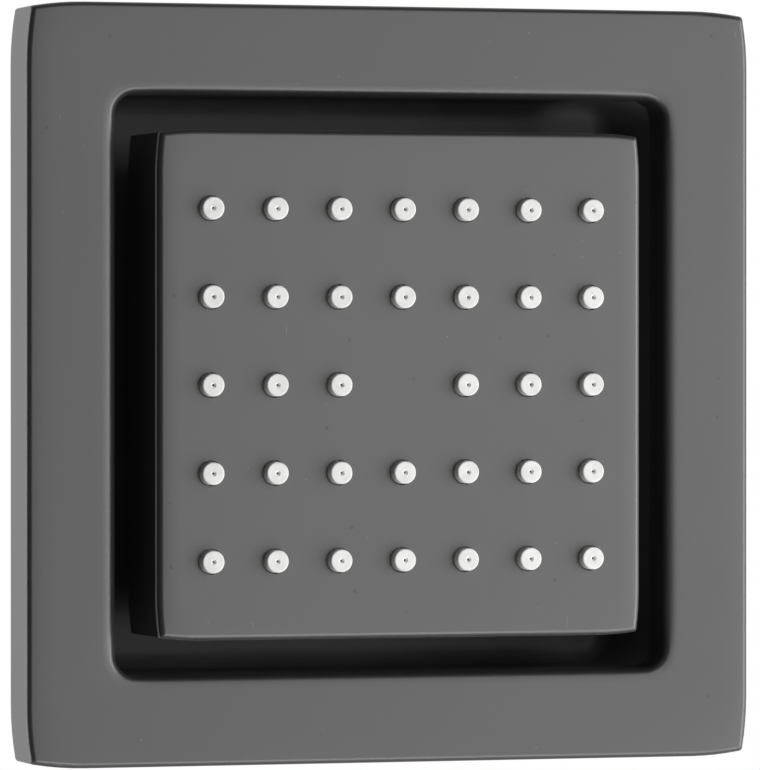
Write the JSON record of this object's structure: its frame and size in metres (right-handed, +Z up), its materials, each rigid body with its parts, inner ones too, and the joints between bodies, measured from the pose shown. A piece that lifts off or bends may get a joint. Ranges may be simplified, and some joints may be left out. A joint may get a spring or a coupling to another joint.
{
  "type": "square wall-mounted swivelling body spray",
  "caption": "Square matt dark grey body spray for a wall, with a square head of white nozzles that swivels on a ball joint inside a frame.",
  "frame": {"origin": "centre of the frame on the finished wall, on the inlet axis", "axes": "+Z up, +X to the right seen from the front, +Y into the wall along the inlet axis"},
  "size_m": [0.15, 0.0625, 0.15],
  "materials": {
    "frame_finish": "satin dark grey",
    "head_finish": "satin dark grey",
    "pan_finish": "black coating",
    "nozzle_silicone": "white silicone",
    "black_plastic": "moulded",
    "white_plastic": "moulded",
    "black_rubber": "moulded",
    "gasket_foam": "closed cell foam",
    "inlet_brass": "turned",
    "stainless": "plain"
  },
  "bodies": {
    "wall_mount": {"escutcheon_frame": "frame_finish", "recess_pan": "pan_finish", "pan_flange": "pan_finish", "wall_gasket": "gasket_foam", "pan_screws": "stainless", "ball_inlet": "inlet_brass", "inlet_washer": "black_rubber", "nut_washer": "stainless", "lock_nut": "inlet_brass", "filter_seal": "black_rubber", "filter_screen": "stainless", "regulator_body": "white_plastic", "regulator_ring": "black_rubber"},
    "liner": {"slip_liner": "white_plastic"},
    "seat": {"cup_seal": "black_rubber"},
    "spray_head": {"spray_plate": "head_finish", "nozzle_mat": "nozzle_silicone", "mat_retainer": "black_plastic", "chamber_cover": "black_plastic", "chamber_seal": "black_rubber", "cover_screws": "stainless", "collar_nut": "inlet_brass"}
  },
  "joints": [
    {"name": "head_pan", "type": "hinge", "parent": "wall_mount", "child": "liner", "pos_m": [0, 0.006, 0], "axis": [0, 0, 1], "range_deg": [-10, 10]},
    {"name": "head_tilt", "type": "hinge", "parent": "liner", "child": "seat", "pos_m": [0, 0.006, 0], "axis": [1, 0, 0], "range_deg": [-10, 10]},
    {"name": "head_twist", "type": "hinge", "parent": "seat", "child": "spray_head", "pos_m": [0, 0.006, 0], "axis": [0, 1, 0], "range_deg": [-3, 3]}
  ]
}
